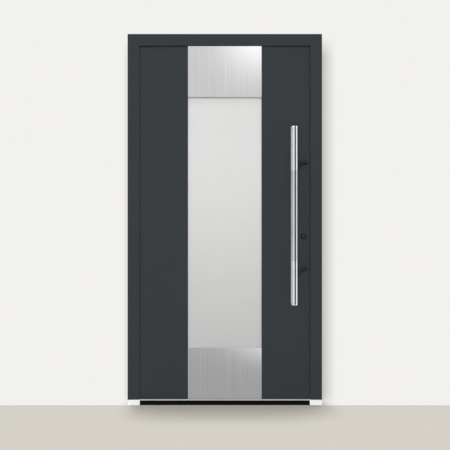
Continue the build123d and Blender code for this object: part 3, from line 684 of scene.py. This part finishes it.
print("wall", round(WALL_Y - FACE_Y, 4), "m behind the frame's face")

# %% [markdown]
# World: an evenly pale room. Steel mirrors it too, and a round bar mirrors all of it at
# once, so the room has what a studio has round a shiny piece: a bright screen left of
# the camera and a narrow one at the far left, a dark screen right of the camera and a
# window at the far right. They lie along the ray's direction, as a panorama does.

# %% World
# degrees right of the way to the camera, and how bright the room is there
ROOM = (
    (-180, 1.0), (-150, 1.7), (-96, 2.9), (-85, 2.9), (-79, 0.6), (-66, 0.35),
    (-46, 0.35), (-39, 1.85), (-18, 1.85), (-12, 0.67), (4, 0.67), (13, 0.45),
    (24, 0.1), (57, 0.08), (64, 1.8), (92, 2.1), (130, 1.9), (180, 1.0),
)
TOP_LEVEL = 3.0
ROOM_LIGHT = 0.66

world = bpy.data.worlds.new("pale room")
bpy.context.scene.world = world
world.use_nodes = True
sky = world.node_tree
sky.nodes.clear()
ray = node(sky, "ShaderNodeLightPath").outputs
way = node(sky, "ShaderNodeTexCoord").outputs["Generated"]
axes = node(sky, "ShaderNodeSeparateXYZ", {"Vector": way}).outputs
towards = node(sky, "ShaderNodeMath", {0: axes["Y"], 1: -1.0}, operation="MULTIPLY")
angle = node(sky, "ShaderNodeMath", {0: axes["X"], 1: towards}, operation="ARCTAN2")
turn = node(sky, "ShaderNodeMapRange", {"Value": angle, "From Min": -math.pi, "From Max": math.pi})
screens = node(sky, "ShaderNodeValToRGB", {"Fac": turn})
while len(screens.color_ramp.elements) < len(ROOM):
    screens.color_ramp.elements.new(0.5)
for stop, (degrees, level) in zip(screens.color_ramp.elements, ROOM):
    stop.position = (degrees + 180) / 360
    stop.color = (level / TOP_LEVEL, level / TOP_LEVEL, level / TOP_LEVEL, 1.0)
seen = node(sky, "ShaderNodeBackground", {"Color": linear(PALE), "Strength": 1.0})
mirrored = node(sky, "ShaderNodeBackground", {"Color": screens, "Strength": TOP_LEVEL})
room = node(sky, "ShaderNodeBackground", {"Color": linear("#F0F1F2"), "Strength": ROOM_LIGHT})
soft = node(sky, "ShaderNodeMixShader", {"Fac": ray["Is Glossy Ray"], 1: room, 2: mirrored})
eye_or_glass = {0: ray["Is Camera Ray"], 1: ray["Is Transmission Ray"]}
eye = node(sky, "ShaderNodeMath", eye_or_glass, operation="MAXIMUM")
pick = node(sky, "ShaderNodeMixShader", {"Fac": eye, 1: soft, 2: seen})
node(sky, "ShaderNodeOutputWorld", {"Surface": pick})
print("room with", len(ROOM), "stops round it")

# %% [markdown]
# Lamps: one in front, high and a little to the right, gives the small shadows of the
# bar's brackets. A weaker one behind lights the inside of the door. Both are far away,
# so they light the whole door evenly, and both are kept out of the steel.

# %% Lamps
def distant_lamp(name, towards, strength, width):
    """A lamp that shines from a direction, as wide in degrees as it looks from the door."""
    data = bpy.data.lights.new(name, "SUN")
    data.energy = strength
    data.angle = math.radians(width)
    lamp = bpy.data.objects.new(name, data)
    lamp.rotation_euler = Vector(towards).to_track_quat("Z", "Y").to_euler()
    lamp.visible_glossy = False
    bpy.context.scene.collection.objects.link(lamp)
    print(name, "strength", strength)


distant_lamp("high_lamp", (0.11, -0.85, 0.68), 1.7, 6)
distant_lamp("inside_lamp", (-0.45, 0.75, 0.5), 1.3, 25)

# %% [markdown]
# Two cards give the plates their sheen. They are seen by shiny pieces alone, as a white
# card is held just outside a picture: one up to the right and one lying on the floor.
# Their light fades from the middle and adds to what is behind them.

# %% Cards for the steel
def for_steel_only(card):
    """Hides a card from the eye, and keeps its light off matt things and glass."""
    card.visible_camera = False
    card.visible_diffuse = False
    card.visible_transmission = False


def sheen_card(name, middle, across, up, radius, strength):
    """A square card centred on a point, spanned by two directions."""
    material, tree = bare_material(name)
    spot = node(tree, "ShaderNodeTexCoord").outputs["Object"]
    between = node(tree, "ShaderNodeVectorMath", {0: spot, 1: middle}, operation="DISTANCE")
    fall = {"Value": between.outputs["Value"], "From Min": radius, "From Max": 0.0, "To Max": strength}
    fade = node(tree, "ShaderNodeMapRange", fall, interpolation_type="SMOOTHSTEP")
    glow = node(tree, "ShaderNodeEmission", {"Color": (1, 1, 1, 1), "Strength": fade})
    clear = node(tree, "ShaderNodeBsdfTransparent")
    both = node(tree, "ShaderNodeAddShader", {0: glow, 1: clear})
    node(tree, "ShaderNodeOutputMaterial", {"Surface": both})
    across, up, middle = Vector(across) * radius, Vector(up) * radius, Vector(middle)
    corners = [middle - across - up, middle + across - up, middle + across + up, middle - across + up]
    for_steel_only(stage_piece(name, [tuple(c) for c in corners], [(0, 1, 2, 3)], material))
    print(name, 2 * radius, "m wide")


sheen_card("upper_card", (0.42, -4.35, 3.2), (-1, 0, 0), (0, 0, 1), 0.65, 1.2)
sheen_card("floor_card", (0.74, -2.15, 0.01), (1, 0, 0), (0, 1, 0), 0.95, 1.35)

# %% [markdown]
# A third card stands flat before the leaf, left of the bar. It glows towards the front
# only, so the leaf stays dark, but the bar's left flank finds light there and not the
# dark coat. This is how a photographer keeps the edge of a round tube from vanishing.

# %% Card beside the bar
CARD_GLOW = 0.62
CARD_WIDE = 0.2
card_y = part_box("leaf_outer_skin")[0].y - 0.003
card_right = BAR[0] - BAR_R
card_left = card_right - CARD_WIDE
card_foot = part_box("handle_cap_lower")[0].z
card_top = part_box("handle_cap_upper")[1].z

flank_material, tree = bare_material("flank card")
one_sided(tree, node(tree, "ShaderNodeEmission", {"Strength": CARD_GLOW}))
card_corners = [
    (card_left, card_y, card_foot), (card_right, card_y, card_foot),
    (card_right, card_y, card_top), (card_left, card_y, card_top),
]
for_steel_only(stage_piece("flank_card", card_corners, [(0, 1, 2, 3)], flank_material))
print("flank card", round(card_top - card_foot, 4), "m high")

# %% [markdown]
# The Standard view shows each colour about as its hex value says.

# %% Finish
bpy.context.scene.view_settings.view_transform = "Standard"
